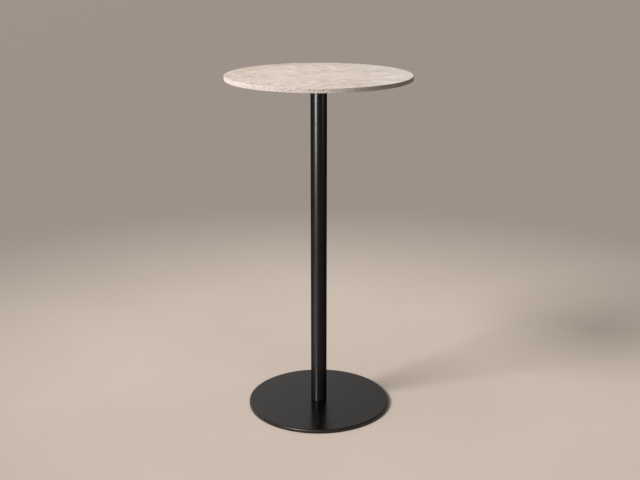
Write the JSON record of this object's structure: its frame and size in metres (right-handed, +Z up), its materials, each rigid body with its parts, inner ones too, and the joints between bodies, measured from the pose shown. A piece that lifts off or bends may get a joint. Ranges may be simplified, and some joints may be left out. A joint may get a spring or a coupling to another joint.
{
  "type": "pub table",
  "caption": "Bar-height pub table: a thin round stone top on a straight round steel column and a flat disc base with screw-adjusted levelling feet.",
  "frame": {"origin": "on the floor under the middle of the table, with the feet screwed fully in", "axes": "+Z up along the column, -Y towards the viewer of the picture, +X to the viewer's right"},
  "size_m": [0.56, 0.56, 1.06],
  "materials": {
    "travertine": "honed",
    "black_powder_coat": "satin",
    "turned_steel": "turned",
    "zinc_plated_steel": "zinc plated",
    "brass": "turned",
    "gasket_rubber": "matte sheet",
    "black_nylon": "moulded",
    "sole_rubber": "matte"
  },
  "bodies": {
    "table": {"table_top": "travertine", "top_inserts": "brass", "top_gasket": "gasket_rubber", "top_plate": "black_powder_coat", "top_screws": "zinc_plated_steel", "top_screw_washers": "zinc_plated_steel", "top_hub": "turned_steel", "tie_rod_nut": "zinc_plated_steel", "tie_rod_washer": "zinc_plated_steel", "tie_rod": "zinc_plated_steel", "column_tube": "black_powder_coat", "base_boss": "turned_steel", "base_plate": "black_powder_coat"},
    "foot_1": {"foot_pad_1": "black_nylon", "foot_sole_1": "sole_rubber"},
    "foot_screw_1": {"foot_screw_1": "zinc_plated_steel"},
    "foot_2": {"foot_pad_2": "black_nylon", "foot_sole_2": "sole_rubber"},
    "foot_screw_2": {"foot_screw_2": "zinc_plated_steel"},
    "foot_3": {"foot_pad_3": "black_nylon", "foot_sole_3": "sole_rubber"},
    "foot_screw_3": {"foot_screw_3": "zinc_plated_steel"},
    "foot_4": {"foot_pad_4": "black_nylon", "foot_sole_4": "sole_rubber"},
    "foot_screw_4": {"foot_screw_4": "zinc_plated_steel"}
  },
  "joints": [
    {"name": "foot_1_travel", "type": "slide", "parent": "table", "child": "foot_1", "axis": [0, 0, -1], "range_m": [0, 0.003]},
    {"name": "foot_1_screw_turn", "type": "hinge", "parent": "foot_1", "child": "foot_screw_1", "pos_m": [0.19, 0, 0], "axis": [0, 0, -1], "range_deg": [0, 864]},
    {"name": "foot_2_travel", "type": "slide", "parent": "table", "child": "foot_2", "axis": [0, 0, -1], "range_m": [0, 0.003]},
    {"name": "foot_2_screw_turn", "type": "hinge", "parent": "foot_2", "child": "foot_screw_2", "pos_m": [0, 0.19, 0], "axis": [0, 0, -1], "range_deg": [0, 864]},
    {"name": "foot_3_travel", "type": "slide", "parent": "table", "child": "foot_3", "axis": [0, 0, -1], "range_m": [0, 0.003]},
    {"name": "foot_3_screw_turn", "type": "hinge", "parent": "foot_3", "child": "foot_screw_3", "pos_m": [-0.19, 0, 0], "axis": [0, 0, -1], "range_deg": [0, 864]},
    {"name": "foot_4_travel", "type": "slide", "parent": "table", "child": "foot_4", "axis": [0, 0, -1], "range_m": [0, 0.003]},
    {"name": "foot_4_screw_turn", "type": "hinge", "parent": "foot_4", "child": "foot_screw_4", "pos_m": [0, -0.19, 0], "axis": [0, 0, -1], "range_deg": [0, 864]}
  ],
  "couplings": [
    {"joint": "foot_1_screw_turn", "follows": "foot_1_travel", "rad_per_m": 5026.5},
    {"joint": "foot_2_screw_turn", "follows": "foot_2_travel", "rad_per_m": 5026.5},
    {"joint": "foot_3_screw_turn", "follows": "foot_3_travel", "rad_per_m": 5026.5},
    {"joint": "foot_4_screw_turn", "follows": "foot_4_travel", "rad_per_m": 5026.5}
  ]
}
